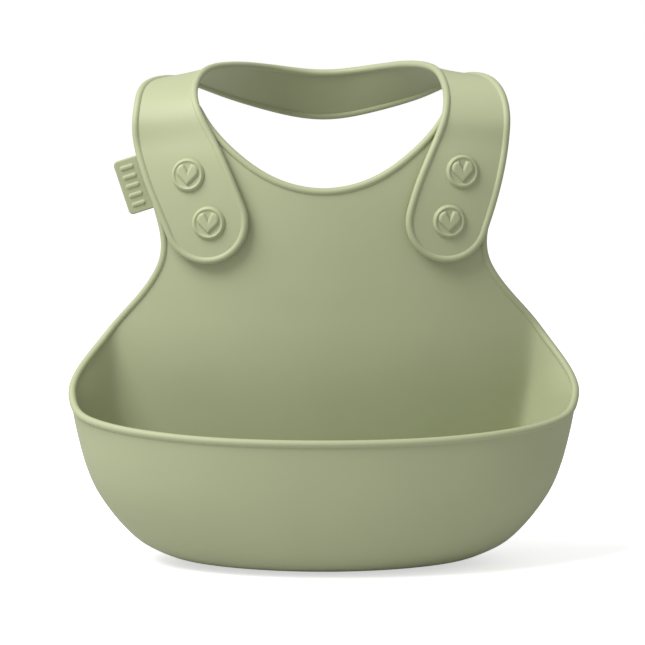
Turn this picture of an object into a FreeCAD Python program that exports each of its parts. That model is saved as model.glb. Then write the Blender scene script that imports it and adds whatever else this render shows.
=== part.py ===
import FreeCAD, Part
import math
import os

# Silicone catch-all bib: a curved chest panel that folds up into a food pocket, and a horseshoe
# neckband whose two rounded ends button onto the panel's shoulder tabs.
# Millimetres. +X to the viewer's right, -Y out of the front, +Z up.
# The origin is the centre of the flat under the pocket.

Vec = FreeCAD.Vector

# ---- driving dimensions -------------------------------------------------------------------------
WALL = 2.0                    # sheet thickness of panel and pocket
PANEL_RADIUS = 296.0          # sideways curvature that fits a child's chest
FOLD_SPREAD = 4.0             # softness of the crease between panel and pocket side
FOLD_SHARE = 0.815            # where that crease stands, as a share of the pocket's half width
FOLD_SLOPE = 1.65             # how steeply the pocket side comes forward from the crease
RIM_CORNER_Z = 73.8           # height of the pocket mouth's two corners
RIM_FRONT_Z = 61.3            # height of the pocket mouth at the front
TOP_HALF_WIDTH = 111.5        # half width of the uncut shell above the pocket
FOLD_AT_TOP = 88.9            # where the crease stands above the pocket
WAIST_LEAN = 1.1              # how far the soft panel leans to the right at its waist
WAIST_Z = 106.8
WAIST_SPREAD = 22.0
STRAP_THICK = 1.9             # neckband sheet
STRAP_GAP = 4.6               # strap's mid-sheet ahead of the tab's rear face
STRAP_END_RADIUS = 17.3
HINGE_STATION = 5.6           # where along the band the peeling strap starts to bend
HINGE_CLEARANCE = 0.035       # half the gap left there, in stations
CAP_RADIUS = 7.0
CAP_THICK = 2.0
RING_WIDTH = 1.5
RECESS_DEPTH = 0.8
SHANK_RADIUS = 2.6
STRAP_HOLE_RADIUS = 2.5       # stretched 0.1 mm by the shank
TAB_HOLE_RADIUS = 4.3
SHANK_REACH = 7.2             # behind the cap, through the strap and the tab
BULB_RADIUS = 3.2             # rounded end of the shank, behind the tab
BULB_LENGTH = 1.8
TAG_LENGTH = 24.0
TAG_WIDTH = 14.0
TAG_THICK = 1.6
TAG_TILT = 18.0               # degrees from upright

# Pocket shell from the flat up to the mouth's corners: height, half width, front face, back face.
POCKET = [
    (0.0, 38.0, -15.0, 18.0), (0.8, 49.0, -18.8, 18.8), (2.1, 60.0, -22.4, 19.4),
    (4.2, 68.0, -25.4, 19.7), (6.8, 74.0, -27.8, 19.9), (11.0, 80.7, -30.6, 20.0),
    (19.0, 88.9, -33.8, 20.1), (28.0, 95.4, -36.2, 20.1), (38.0, 100.3, -37.9, 20.1),
    (50.0, 104.0, -39.0, 20.1), (61.5, 106.6, -39.7, 20.1), (73.8, 108.2, -40.0, 20.1),
]
# Panel above the pocket: height, slope of the pocket side, how far back its centre line stands.
PANEL = [
    (80.8, 1.44, 20.1), (88.8, 1.21, 20.2), (96.8, 1.02, 20.4), (104.8, 0.85, 20.7),
    (112.8, 0.50, 20.9), (122.8, 0.14, 21.1), (132.8, 0.00, 21.3), (146.8, 0.00, 21.4),
    (161.8, 0.00, 21.5), (172.8, 0.00, 21.9), (180.8, 0.00, 23.6), (188.8, 0.00, 27.9),
    (196.8, 0.00, 34.1), (202.8, 0.00, 39.6),
]
# Right half of the panel's outline, front view, from the neckline to the pocket mouth's corner.
OUTLINE = [
    (0.0, 159.5), (12.0, 161.0), (24.0, 165.6), (35.0, 173.0), (44.0, 181.2), (50.5, 189.4),
    (54.5, 194.8), (61.0, 197.3), (68.5, 196.1), (74.5, 190.8), (77.0, 182.8), (77.2, 172.8),
    (75.3, 159.8), (72.4, 147.3), (70.5, 138.4), (70.9, 129.7), (75.0, 120.8), (81.7, 111.9),
    (89.6, 103.0), (96.6, 94.9), (102.8, 87.3), (107.4, 79.9), (110.2, RIM_CORNER_Z),
]
# Side view of the pocket mouth: distance out, height.
MOUTH = [
    (-40.5, RIM_FRONT_Z), (-36.0, 61.7), (-29.0, 62.7), (-22.0, 63.8), (-12.0, 65.7), (-2.0, 69.0),
    (6.0, 73.4), (10.5, 79.3), (12.5, 87.8),
]
# Neckband stations from the centre of the back to the strap's end: the neck edge, then the
# outer edge. A point with two numbers, across and up, lies on the panel.
BACK_STATIONS = [
    ((0.0, 98.0, 204.4), (0.0, 111.0, 181.1)), ((20.0, 93.0, 206.6), (24.0, 106.0, 185.3)),
]
RIGHT_STATIONS = [
    ((36.0, 78.5, 209.3), (46.0, 95.0, 193.3)), ((46.0, 64.0, 208.5), (63.0, 73.0, 202.8)),
    ((52.0, 48.5, 204.1), (74.5, 48.0, 203.3)), ((53.6, 35.6, 197.6), (79.8, 35.6, 194.1)),
    ((51.0, 27.6, 188.8), (80.2, 30.4, 182.8)), ((46.5, 178.7), (78.8, 171.3)),
    ((41.3, 166.7), (76.0, 158.3)), ((37.2, 155.1), (72.5, 146.3)), ((34.0, 142.8), (68.5, 133.8)),
    ((30.5, 127.8), (64.5, 118.8)),
]
LEFT_STATIONS = [
    ((-36.0, 78.5, 208.9), (-46.0, 95.0, 193.3)), ((-47.0, 65.0, 208.5), (-64.5, 72.5, 202.6)),
    ((-52.7, 50.5, 204.9), (-76.5, 49.0, 202.0)), ((-54.2, 36.6, 198.8), (-81.7, 36.2, 193.4)),
    ((-51.5, 28.6, 190.3), (-82.3, 31.0, 182.3)), ((-45.9, 179.8), (-80.2, 171.1)),
    ((-40.3, 168.3), (-75.6, 157.6)), ((-35.2, 156.3), (-70.2, 144.8)),
    ((-30.2, 143.8), (-65.0, 132.3)), ((-24.5, 129.8), (-58.5, 117.8)),
]
STRAP_ENDS = {"right": (53.9, 143.2), "left": (-48.3, 143.5)}
SNAPS = {
    "right_upper_snap": (59.4, 166.3), "right_lower_snap": (53.8, 145.2),
    "left_upper_snap": (-57.9, 164.9), "left_lower_snap": (-49.1, 144.6),
}
TAG_CENTRE = (-80.5, 160.2)


# ---- shared shape rules -------------------------------------------------------------------------
def smooth_value(rows, height, column):
    """Value of a column at a height, along a smooth curve through the rows."""
    last = len(rows) - 1
    step = 0
    while step < last - 1 and rows[step + 1][0] < height:
        step += 1

    def slope(index):
        low = max(index - 1, 0)
        high = min(index + 1, last)
        return (rows[high][column] - rows[low][column]) / (rows[high][0] - rows[low][0])

    z0, z1 = rows[step][0], rows[step + 1][0]
    span = z1 - z0
    t = min(max((height - z0) / span, 0.0), 1.0)
    v0, v1 = rows[step][column], rows[step + 1][column]
    return (v0 * (1 + 2 * t) * (1 - t) ** 2 + v1 * t * t * (3 - 2 * t)
            + span * slope(step) * t * (1 - t) ** 2 - span * slope(step + 1) * t * t * (1 - t))


def sheet_depth(x, back, fold_at, fold_slope):
    """Depth of the chest sheet: a wide arc, with its sides folded forward past the crease."""
    past = math.log(1.0 + math.exp((abs(x) - fold_at) / FOLD_SPREAD))
    return back + x * x / (2.0 * PANEL_RADIUS) - fold_slope * FOLD_SPREAD * past


def panel_depth(x, z):
    """Depth of the panel's rear face above the pocket."""
    return sheet_depth(x, smooth_value(PANEL, z, 2), FOLD_AT_TOP, smooth_value(PANEL, z, 1))


def ring_point(shape, turn):
    """Point of one level ring; turn runs 0 to 4, from the back centre round by the right."""
    half_width, front, back, fold_at, fold_slope = shape
    if 1.0 <= turn <= 3.0:
        angle = (turn - 1.0) * math.pi / 2.0
        side = sheet_depth(half_width, back, fold_at, fold_slope)
        return half_width * math.cos(angle), side - (side - front) * math.sin(angle)
    along = turn if turn < 1.0 else turn - 4.0
    x = half_width * math.sin(along * math.pi / 2.0)
    return x, sheet_depth(x, back, fold_at, fold_slope)


RING_TURNS = [step / 12.0 for step in range(48)]


def rate(rows, height, column):
    """How fast a column changes with height."""
    step = 0.4
    top, bottom = height + step, max(height - step, 0.0)
    return (smooth_value(rows, top, column) - smooth_value(rows, bottom, column)) / (top - bottom)


def wall_shift(rows, height, column, inward):
    """Level distance between two faces that stand inward apart, square to a sloping wall."""
    return inward * math.hypot(1.0, rate(rows, height, column))


def shell_ring(height, inward):
    """Height and shape of the ring that a station of the outer face gives at a depth of wall."""
    fold_share = inward * (math.hypot(1.0, FOLD_SLOPE) - 1.0) / FOLD_SLOPE
    if height < PANEL[0][0]:
        lean = math.atan(rate(POCKET, height, 1)) if height > 0 else math.pi / 2.0
        half_width = smooth_value(POCKET, height, 1) - inward * math.cos(lean)
        level = height + inward * math.sin(lean)
        front = smooth_value(POCKET, level, 2) + wall_shift(POCKET, level, 2, inward)
        back = smooth_value(POCKET, level, 3) - wall_shift(POCKET, level, 3, inward)
        fold_at = FOLD_SHARE * smooth_value(POCKET, level, 1) - fold_share
        return level, (half_width, front, back, fold_at, FOLD_SLOPE)
    slope = smooth_value(PANEL, height, 1)
    back = smooth_value(PANEL, height, 2) - wall_shift(PANEL, height, 2, inward)
    front = POCKET[-1][2] + inward
    return height, (TOP_HALF_WIDTH - inward, front, back, FOLD_AT_TOP - fold_share, slope)


def shell_rings(inward):
    """Rows of points of a face of the shell, from the flat to above the tabs."""
    rings = []
    for height in [row[0] for row in POCKET + PANEL]:
        level, shape = shell_ring(height, inward)
        rings.append([Vec(*ring_point(shape, turn), level) for turn in RING_TURNS])
    return rings


def loft_rings(rings, lift):
    """Closed solid through the rows, with its top row raised so that two shells differ there."""
    wires = []
    for row, ring in enumerate(rings):
        top = row == len(rings) - 1
        points = [Vec(p.x, p.y, p.z + (lift if top else 0.0)) for p in ring]
        curve = Part.BSplineCurve()
        curve.interpolate(Points=points, PeriodicFlag=True)
        wires.append(Part.Wire(curve.toShape()))
    return Part.makeLoft(wires, True, False)


def curve_edge(points):
    curve = Part.BSplineCurve()
    curve.interpolate(Points=points)
    return curve.toShape()


def closed_prism(edges, direction):
    return Part.Face(Part.Wire(edges)).extrude(direction)


# ---- bib body -----------------------------------------------------------------------------------
def waist_lean(z):
    """How far the outline is pushed to the right at a height."""
    return WAIST_LEAN * math.exp(-((z - WAIST_Z) / WAIST_SPREAD) ** 2)


def front_view_prism():
    """Everything inside the bib's outline, seen from the front."""
    near, far, low, wide = -150.0, 260.0, -10.0, 130.0
    right = [Vec(waist_lean(z) + x, near, z) for x, z in OUTLINE]
    left = [Vec(waist_lean(z) - x, near, z) for x, z in OUTLINE[::-1]]
    corner_r = Vec(wide, near, RIM_CORNER_Z)
    corner_l = Vec(-wide, near, RIM_CORNER_Z)
    edges = [curve_edge(left[:-1] + right)]
    edges.append(Part.makeLine(right[-1], corner_r))
    edges.append(Part.makeLine(corner_r, Vec(wide, near, low)))
    edges.append(Part.makeLine(Vec(wide, near, low), Vec(-wide, near, low)))
    edges.append(Part.makeLine(Vec(-wide, near, low), corner_l))
    edges.append(Part.makeLine(corner_l, left[0]))
    return closed_prism(edges, Vec(0, far, 0))


def mouth_prism():
    """What is cut away in front of the panel, above the pocket's mouth."""
    side, top, out = -140.0, 240.0, -120.0
    line = [Vec(side, y, z) for y, z in MOUTH]
    upper = Vec(side, MOUTH[-1][0], top)
    edges = [curve_edge(line), Part.makeLine(line[-1], upper)]
    edges.append(Part.makeLine(upper, Vec(side, out, top)))
    edges.append(Part.makeLine(Vec(side, out, top), Vec(side, out, RIM_FRONT_Z)))
    edges.append(Part.makeLine(Vec(side, out, RIM_FRONT_Z), line[0]))
    return closed_prism(edges, Vec(-2 * side, 0, 0))


def surface_axis(x, z):
    """Unit vector straight out of the panel's front at a place."""
    step = 0.5
    across = (panel_depth(x + step, z) - panel_depth(x - step, z)) / (2 * step)
    up = (panel_depth(x, z + step) - panel_depth(x, z - step)) / (2 * step)
    normal = Vec(across, -1.0, up)
    normal.normalize()
    return normal


def bib_body():
    solid = loft_rings(shell_rings(0.0), 0.0).common(front_view_prism()).cut(mouth_prism())
    body = solid.cut(loft_rings(shell_rings(WALL), 3.0))
    for place in SNAPS.values():
        out = surface_axis(*place)
        body = body.cut(Part.makeCylinder(TAB_HOLE_RADIUS, 24.0, snap_seat(*place) - out * 12.0, out))
    return body


# ---- neckband -----------------------------------------------------------------------------------
def laid(point):
    """A station's point, set on the panel where the strap lies on it."""
    if len(point) == 3:
        return Vec(*point)
    x, z = point
    return Vec(x, panel_depth(x, z) - STRAP_GAP, z)


def edge_curves(front_stations):
    mirrored = front_stations[0][0][0] < 0
    side = -1.0 if mirrored else 1.0
    back = [[(side * x, y, z) for x, y, z in pair] for pair in BACK_STATIONS]
    beyond = [(-x, y, z) for x, y, z in back[1]]
    stations = [beyond] + back + front_stations
    curves = []
    for edge in (0, 1):
        curve = Part.BSplineCurve()
        curve.interpolate(Points=[laid(pair[edge]) for pair in stations],
                          Parameters=[i - 1.0 for i in range(len(stations))])
        curves.append(curve)
    return curves


def band_section(curves, station, flip):
    """Closed wire across the band: two flats and two round edges."""
    inner = curves[0].value(station)
    outer = curves[1].value(station)
    across = outer - inner
    across.normalize()
    ahead = curves[0].tangent(station)[0] + curves[1].tangent(station)[0]
    normal = across.cross(ahead) * flip
    normal.normalize()
    half = normal * (STRAP_THICK / 2.0)
    bulge = across * (STRAP_THICK / 2.0)
    a, b = inner + bulge, outer - bulge
    edges = [
        Part.makeLine(a + half, b + half),
        Part.Arc(b + half, outer, b - half).toShape(),
        Part.makeLine(b - half, a - half),
        Part.Arc(a - half, inner, a + half).toShape(),
    ]
    return Part.Wire(edges)


def band_sections(front_stations, first, last, steps, flip):
    curves = edge_curves(front_stations)
    stations = [first + (last - first) * i / steps for i in range(steps + 1)]
    return [band_section(curves, station, flip) for station in stations]


def neckband():
    """The collar round the back of the neck, up to the two places where the straps bend."""
    last = HINGE_STATION - HINGE_CLEARANCE
    left = band_sections(LEFT_STATIONS, 0.0, last, 12, -1.0)
    right = band_sections(RIGHT_STATIONS, 0.0, last, 12, 1.0)
    return Part.makeLoft(left[:0:-1] + right, True, False)


def strap(side):
    """One end of the neckband: it lies in front of the tab, and holds two snap buttons."""
    stations, flip = (RIGHT_STATIONS, 1.0) if side == "right" else (LEFT_STATIONS, -1.0)
    band = Part.makeLoft(band_sections(stations, HINGE_STATION + HINGE_CLEARANCE, 11.0, 12, flip),
                         True, False)
    curves = edge_curves(stations)
    x, z = STRAP_ENDS[side]
    middle = Vec(x, -60.0, z)
    through = Vec(0, 140.0, 0)
    inner = curves[0].value(9.0)
    outer = curves[1].value(9.0)
    across = Vec(outer.x - inner.x, 0, outer.z - inner.z)
    across.normalize()
    up = Vec(-across.z, 0, across.x)
    if up.z < 0:
        up = up * -1.0
    wide, tall = 40.0, 120.0
    corners = [middle - across * wide, middle + across * wide,
               middle + across * wide + up * tall, middle - across * wide + up * tall]
    upper = Part.Face(Part.makePolygon(corners + corners[:1])).extrude(through)
    end = Part.makeCylinder(STRAP_END_RADIUS, 140.0, middle, Vec(0, 1, 0))
    body = band.common(upper.fuse(end))
    for name, place in SNAPS.items():
        if name.startswith(side):
            out = surface_axis(*place)
            start = snap_seat(*place) - out * 8.0
            body = body.cut(Part.makeCylinder(STRAP_HOLE_RADIUS, 16.0, start, out))
    return body


# ---- snap buttons -------------------------------------------------------------------------------
def snap_seat(x, z):
    """Point of the strap's front face where a cap sits."""
    return Vec(x, panel_depth(x, z) - STRAP_GAP, z) + surface_axis(x, z) * (STRAP_THICK / 2.0)


def heart_solid(size, depth):
    """A plain heart, point down, built about the origin and rising along +Z."""
    lobe = size * 0.27
    top = Vec(0, size * 0.20, 0)
    tip = Vec(0, -size * 0.46, 0)
    right_side = Vec(lobe * 1.93, size * 0.10, 0)
    left_side = Vec(-lobe * 1.93, size * 0.10, 0)
    edges = [
        Part.Arc(top, Vec(lobe, size * 0.42, 0), right_side).toShape(),
        Part.makeLine(right_side, tip),
        Part.makeLine(tip, left_side),
        Part.Arc(left_side, Vec(-lobe, size * 0.42, 0), top).toShape(),
    ]
    return closed_prism(edges, Vec(0, 0, depth))


def snap_button(x, z):
    """Cap with a raised ring and a heart, and the shank that holds strap and tab together."""
    cap = Part.makeCylinder(CAP_RADIUS, CAP_THICK)
    cap = cap.makeFillet(0.9, [edge for edge in cap.Edges
                               if abs(edge.BoundBox.ZMin - CAP_THICK) < 1e-6
                               and abs(edge.BoundBox.ZMax - CAP_THICK) < 1e-6])
    recess_radius = CAP_RADIUS - RING_WIDTH
    recess = Part.makeCylinder(recess_radius, RECESS_DEPTH + 1, Vec(0, 0, CAP_THICK - RECESS_DEPTH))
    button = cap.cut(recess)
    heart = heart_solid(7.4, RECESS_DEPTH + 0.3)
    heart.translate(Vec(0, 0, CAP_THICK - RECESS_DEPTH - 0.3))
    button = button.fuse(heart)
    shank = Part.makeCylinder(SHANK_RADIUS, SHANK_REACH + 0.3, Vec(0, 0, -SHANK_REACH))
    bulb = Part.makeCylinder(BULB_RADIUS, BULB_LENGTH, Vec(0, 0, -SHANK_REACH))
    bulb = bulb.makeFillet(0.6, [edge for edge in bulb.Edges if len(edge.Vertexes) == 1])
    button = button.fuse(shank).fuse(bulb)
    out = surface_axis(x, z)
    seat = snap_seat(x, z)
    turn = FreeCAD.Rotation(Vec(0, 0, 1), out)
    up_now = turn.multVec(Vec(0, 1, 0))
    up_flat = Vec(0, 0, 1) - out * out.z
    up_flat.normalize()
    sign = 1.0 if up_now.cross(up_flat).dot(out) > 0 else -1.0
    spin = math.degrees(math.acos(max(-1.0, min(1.0, up_now.dot(up_flat))))) * sign
    button.Placement = FreeCAD.Placement(seat, FreeCAD.Rotation(out, spin).multiply(turn))
    return button


# ---- side tag -----------------------------------------------------------------------------------
def side_tag():
    """Small label moulded on the outer edge of the left tab, with a plain row of raised bars."""
    radius = 1.8
    half_w, half_l = TAG_WIDTH / 2.0, TAG_LENGTH / 2.0
    tag = Part.makeBox(TAG_WIDTH, TAG_THICK, TAG_LENGTH, Vec(-half_w, -TAG_THICK / 2.0, -half_l))
    corners = [edge for edge in tag.Edges
               if edge.BoundBox.YLength > TAG_THICK - 0.1 and edge.BoundBox.XMax < 0]
    tag = tag.makeFillet(radius, corners)
    bars = 5
    pitch = 3.8
    for place in range(bars):
        z = (place - (bars - 1) / 2.0) * pitch
        bar = Part.makeBox(5.2, 0.7, 1.5, Vec(-half_w + 2.6, -TAG_THICK / 2.0 - 0.4, z - 0.75))
        tag = tag.fuse(bar)
    x, z = TAG_CENTRE
    tag.rotate(Vec(0, 0, 0), Vec(0, 1, 0), -TAG_TILT)
    tag.translate(Vec(x, panel_depth(76.0, z) - WALL / 2.0, z))
    return tag


def save(name, shape):
    solid = shape if shape.ShapeType == "Solid" else shape.Solids[0]
    assert solid.isValid() and len(shape.Solids) == 1, name
    box = solid.BoundBox
    print(name, "volume", round(solid.Volume), "x", round(box.XMin, 1), round(box.XMax, 1),
          "y", round(box.YMin, 1), round(box.YMax, 1), "z", round(box.ZMin, 1), round(box.ZMax, 1))
    solid.exportStep("parts/" + name + ".step")


os.makedirs("parts", exist_ok=True)
save("bib_body", bib_body())
save("neckband", neckband())
save("left_strap", strap("left"))
save("right_strap", strap("right"))
for snap_name, snap_place in SNAPS.items():
    save(snap_name, snap_button(*snap_place))
save("side_tag", side_tag())
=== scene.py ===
"""Silicone bib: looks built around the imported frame. Lengths in the tables are millimetres."""
import math

import bmesh
import bpy
import numpy as np
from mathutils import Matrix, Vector
from mathutils.geometry import delaunay_2d_cdt


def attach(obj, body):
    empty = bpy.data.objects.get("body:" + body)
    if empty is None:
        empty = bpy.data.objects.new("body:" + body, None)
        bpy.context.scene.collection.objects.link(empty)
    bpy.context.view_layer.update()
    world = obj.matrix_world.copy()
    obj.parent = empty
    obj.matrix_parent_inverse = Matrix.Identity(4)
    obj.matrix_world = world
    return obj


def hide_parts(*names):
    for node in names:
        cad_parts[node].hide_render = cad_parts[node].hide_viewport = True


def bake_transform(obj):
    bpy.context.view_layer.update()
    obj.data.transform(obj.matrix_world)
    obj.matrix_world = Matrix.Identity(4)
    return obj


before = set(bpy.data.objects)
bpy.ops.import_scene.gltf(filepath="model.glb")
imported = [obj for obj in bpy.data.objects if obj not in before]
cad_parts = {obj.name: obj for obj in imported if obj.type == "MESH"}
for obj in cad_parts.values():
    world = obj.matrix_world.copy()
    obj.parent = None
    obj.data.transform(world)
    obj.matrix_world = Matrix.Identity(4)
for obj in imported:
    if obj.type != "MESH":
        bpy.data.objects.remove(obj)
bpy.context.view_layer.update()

MM = 0.001

# ---- sizes --------------------------------------------------------------------------------------
WALL = 2.0                    # the moulded sheet, as in the frame
SHEET = 1.5                   # what the eye sees of the sheet beside its round edge
BEAD = 1.65                   # radius of the round edge along the bib
STRAP_THICK = 1.3             # the same two for the neckband
STRAP_BEAD = 1.6
BEAD_FACETS = 12              # facets round a bead
PANEL_RADIUS = 296.0          # the chest panel is a wide arc with its sides folded forward
FOLD_SPREAD = 2.0             # how gently the fold turns
FOLD_SHARE = 0.84             # where the fold starts, as a share of the half width
FOLD_SLOPE = 1.9              # how steep the pocket's sides are beyond it
STRAP_GAP = 4.6               # from the panel's rear face to the middle of the strap
HINGE_STATION = 5.6           # where along the band the peeling strap would bend; only the band's middle beside it is worked out
HINGE_STEP = 0.05             # step to each side of it at which the band's middle is taken
TAB_HOLE = 4.3                # radius

# height, half width, front face, back face
POCKET = [
    (0.0, 40.5, -15.0, 18.0), (0.8, 52.0, -18.8, 18.8), (2.1, 61.6, -22.4, 19.4),
    (4.2, 67.9, -25.4, 19.7), (6.8, 73.5, -27.8, 19.9), (11.0, 79.9, -30.6, 20.0),
    (19.0, 87.6, -33.8, 20.1), (28.0, 94.2, -36.2, 20.1), (38.0, 99.7, -37.9, 20.1),
    (50.0, 103.8, -39.0, 20.1), (61.5, 106.8, -39.7, 20.1), (73.8, 109.4, -40.0, 20.1),
]
# height, slope of the pocket side, depth of the panel's centre line
PANEL = [
    (80.8, 1.66, 20.1), (88.8, 1.39, 20.2), (96.8, 1.17, 20.4), (104.8, 0.98, 20.7),
    (112.8, 0.60, 20.9), (122.8, 0.17, 21.1), (132.8, 0.00, 21.2), (146.8, 0.00, 21.5),
    (161.8, 0.00, 22.4), (172.8, 0.00, 24.0), (180.8, 0.00, 26.2), (188.8, 0.00, 29.8),
    (196.8, 0.00, 34.8), (202.8, 0.00, 39.4),
]
# half width and height of the panel's outer edge, from the middle of the neck opening
OUTLINE = [
    (0.0, 159.5), (12.0, 161.0), (24.0, 165.6), (35.0, 173.0), (44.0, 181.2), (50.5, 189.4),
    (54.5, 194.8), (61.0, 197.3), (68.5, 196.1), (74.5, 190.8), (77.0, 182.8), (77.2, 172.8),
    (75.3, 159.8), (72.4, 147.3), (70.5, 138.4), (70.9, 129.7), (75.0, 120.8), (81.7, 111.9),
    (89.6, 103.0), (96.6, 94.9), (103.1, 87.3), (108.3, 79.9), (111.6, 73.8),
]
# depth and height of the pocket's rim
MOUTH = [
    (-40.5, 61.3), (-36.0, 61.7), (-29.0, 62.7), (-22.0, 63.8), (-12.0, 65.7), (-2.0, 69.0),
    (6.0, 73.4), (10.5, 79.3), (12.5, 87.8),
]
LAID_ON = 180.8               # the straps lie on the panel up to about this height
WAIST_LEAN = 1.1              # the outline leans to the right at its waist
WAIST_Z = 106.8
WAIST_SPREAD = 22.0
# inner and outer edge of the neckband; a pair of numbers is a place on the panel, as x and height
BACK_STATIONS = [
    ((0.0, 98.0, 204.4), (0.0, 111.0, 181.1)), ((20.0, 93.0, 206.6), (24.0, 106.0, 185.3)),
]
RIGHT_STATIONS = [
    ((36.0, 78.5, 209.3), (46.0, 95.0, 193.3)), ((46.0, 64.0, 208.5), (63.0, 73.0, 202.8)),
    ((50.2, 48.5, 204.1), (74.5, 48.0, 203.3)), ((51.6, 35.6, 197.6), (79.8, 35.6, 194.1)),
    ((50.3, 27.6, 188.8), (80.2, 30.4, 182.8)), ((46.5, 178.7), (78.8, 171.3)),
    ((41.3, 166.7), (76.0, 158.3)), ((37.2, 155.1), (72.5, 146.3)), ((34.0, 142.8), (68.5, 133.8)),
    ((30.5, 127.8), (64.5, 118.8)),
]
LEFT_STATIONS = [
    ((-36.0, 78.5, 208.9), (-46.0, 95.0, 193.3)), ((-47.0, 65.0, 208.5), (-64.5, 72.5, 201.6)),
    ((-52.7, 50.5, 204.9), (-78.0, 49.0, 201.8)), ((-54.2, 36.6, 198.8), (-81.7, 36.2, 193.4)),
    ((-51.5, 28.6, 190.3), (-82.3, 31.0, 182.3)), ((-45.9, 179.8), (-80.2, 171.1)),
    ((-40.3, 168.3), (-75.6, 157.6)), ((-35.2, 156.3), (-70.2, 144.8)),
    ((-30.2, 143.8), (-65.0, 132.3)), ((-24.5, 129.8), (-58.5, 117.8)),
]
# x and height of each snap
SNAPS = {
    "right_upper_snap": (59.4, 166.3), "right_lower_snap": (53.8, 145.2),
    "left_upper_snap": (-57.9, 164.9), "left_lower_snap": (-49.1, 144.6),
}


# ---- curves -------------------------------------------------------------------------------------
def spline(knots, values):
    """Natural cubic spline through the values; returns a function of an array of parameters."""
    knots = np.asarray(knots, float)
    values = np.asarray(values, float)
    if values.ndim == 1:
        values = values[:, None]
    count = len(knots)
    gap = np.diff(knots)
    rise = np.diff(values, axis=0) / gap[:, None]
    matrix = np.eye(count)
    right = np.zeros_like(values)
    for i in range(1, count - 1):
        matrix[i, i - 1:i + 2] = gap[i - 1], 2 * (gap[i - 1] + gap[i]), gap[i]
        right[i] = 6 * (rise[i] - rise[i - 1])
    bend = np.linalg.solve(matrix, right)

    def at(where):
        where = np.atleast_1d(np.asarray(where, float))
        i = np.clip(np.searchsorted(knots, where) - 1, 0, count - 2)
        h = gap[i][:, None]
        a = (knots[i + 1] - where)[:, None]
        b = (where - knots[i])[:, None]
        cubic = (bend[i] * a ** 3 + bend[i + 1] * b ** 3) / (6 * h)
        straight = (values[i] / h - bend[i] * h / 6) * a + (values[i + 1] / h - bend[i + 1] * h / 6) * b
        return cubic + straight

    return at


def smooth_step(low, high, value):
    t = np.clip((value - low) / (high - low), 0, 1)
    return t * t * (3 - 2 * t)


def chord_knots(points):
    """Run along a chain of points, from 0 at its first."""
    steps = np.linalg.norm(np.diff(np.asarray(points, float), axis=0), axis=1)
    return np.concatenate([[0.0], np.cumsum(steps)])


def even_points(points, spacing, fine=4000):
    """Points at even spacing along the smooth curve through the given points."""
    points = np.asarray(points, float)
    knots = chord_knots(points)
    dense = spline(knots, points)(np.linspace(0, knots[-1], fine))
    run = chord_knots(dense)
    count = max(int(round(run[-1] / spacing)), 2)
    want = np.linspace(0, run[-1], count + 1)
    return np.stack([np.interp(want, run, dense[:, k]) for k in range(dense.shape[1])], 1)


# ---- the bib's surface --------------------------------------------------------------------------
JOIN_Z = 44.0                 # below this the sheet follows the pocket rows themselves
WIDTH_ABOVE = [(84.8, 109.8), (96.8, 109.6), (202.8, 109.6)]
SLOPE_STEP = 0.5              # step over which the panel's slope is taken

pocket_at = spline(np.arange(len(POCKET)), POCKET)
mouth_at = spline([row[0] for row in MOUTH], [row[1] for row in MOUTH])
upper_rows = [(row[0], FOLD_SLOPE, row[3]) for row in POCKET[8:]] + PANEL
slope_back_at = spline([row[0] for row in upper_rows], [row[1:] for row in upper_rows])
width_rows = [row[:2] for row in POCKET[7:]] + WIDTH_ABOVE
width_at = spline([row[0] for row in width_rows], [row[1] for row in width_rows])

# the way up the pocket's side, sampled finely
SIDE_ROWS = pocket_at(np.linspace(0, len(POCKET) - 1, 4000))
SIDE_RUN = chord_knots(SIDE_ROWS[:, :2])


def fold_depth(x, back, fold_at, slope):
    """Depth of the chest sheet's outer face: a wide arc with its sides folded forward."""
    past = np.logaddexp(0.0, (np.abs(x) - fold_at) / FOLD_SPREAD)
    return back + x * x / (2 * PANEL_RADIUS) - slope * FOLD_SPREAD * past


def panel_depth(x, z):
    """Rear face of the panel above JOIN_Z."""
    x = np.asarray(x, float)
    z = np.asarray(z, float)
    both = slope_back_at(np.ravel(z))
    slope = np.maximum(both[:, 0], 0.0).reshape(z.shape)
    back = both[:, 1].reshape(z.shape)
    fold_at = FOLD_SHARE * width_at(np.ravel(z))[:, 0].reshape(z.shape)
    return fold_depth(x, back, fold_at, slope)


def depth_at(x, z):
    """Rear face of the panel at one place."""
    return float(panel_depth(np.array([x]), np.array([z]))[0])


def ring_points(turns, run):
    """Points of the pocket's outer face: turn goes 0 to 4 round it, run is the way up its side."""
    run = np.broadcast_to(run, turns.shape)
    z, half, front, back = (np.interp(run, SIDE_RUN, SIDE_ROWS[:, k]) for k in range(4))
    above = z > JOIN_Z
    half = np.where(above, width_at(z)[:, 0], half)

    def depth(x):
        return np.where(above, panel_depth(x, z), fold_depth(x, back, FOLD_SHARE * half, FOLD_SLOPE))

    ahead = (turns > 1.0) & (turns < 3.0)
    angle = (turns - 1.0) * math.pi / 2
    side = depth(half)
    along = np.where(turns <= 1.0, turns, turns - 4.0)
    x = half * np.where(ahead, np.cos(angle), np.sin(along * math.pi / 2))
    y = np.where(ahead, side - (side - front) * np.sin(angle), depth(x))
    return np.stack([x, y, z], 1)


def snap_axis(x, z):
    """Square to the panel, towards the front."""
    span = 2 * SLOPE_STEP
    across = (depth_at(x + SLOPE_STEP, z) - depth_at(x - SLOPE_STEP, z)) / span
    up = (depth_at(x, z + SLOPE_STEP) - depth_at(x, z - SLOPE_STEP)) / span
    return Vector((across, -1.0, up)).normalized()


def snap_seat(x, z):
    """Point of the strap's front face where a cap sits."""
    return Vector((x, depth_at(x, z) - STRAP_GAP, z)) + snap_axis(x, z) * (STRAP_THICK / 2)


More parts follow.
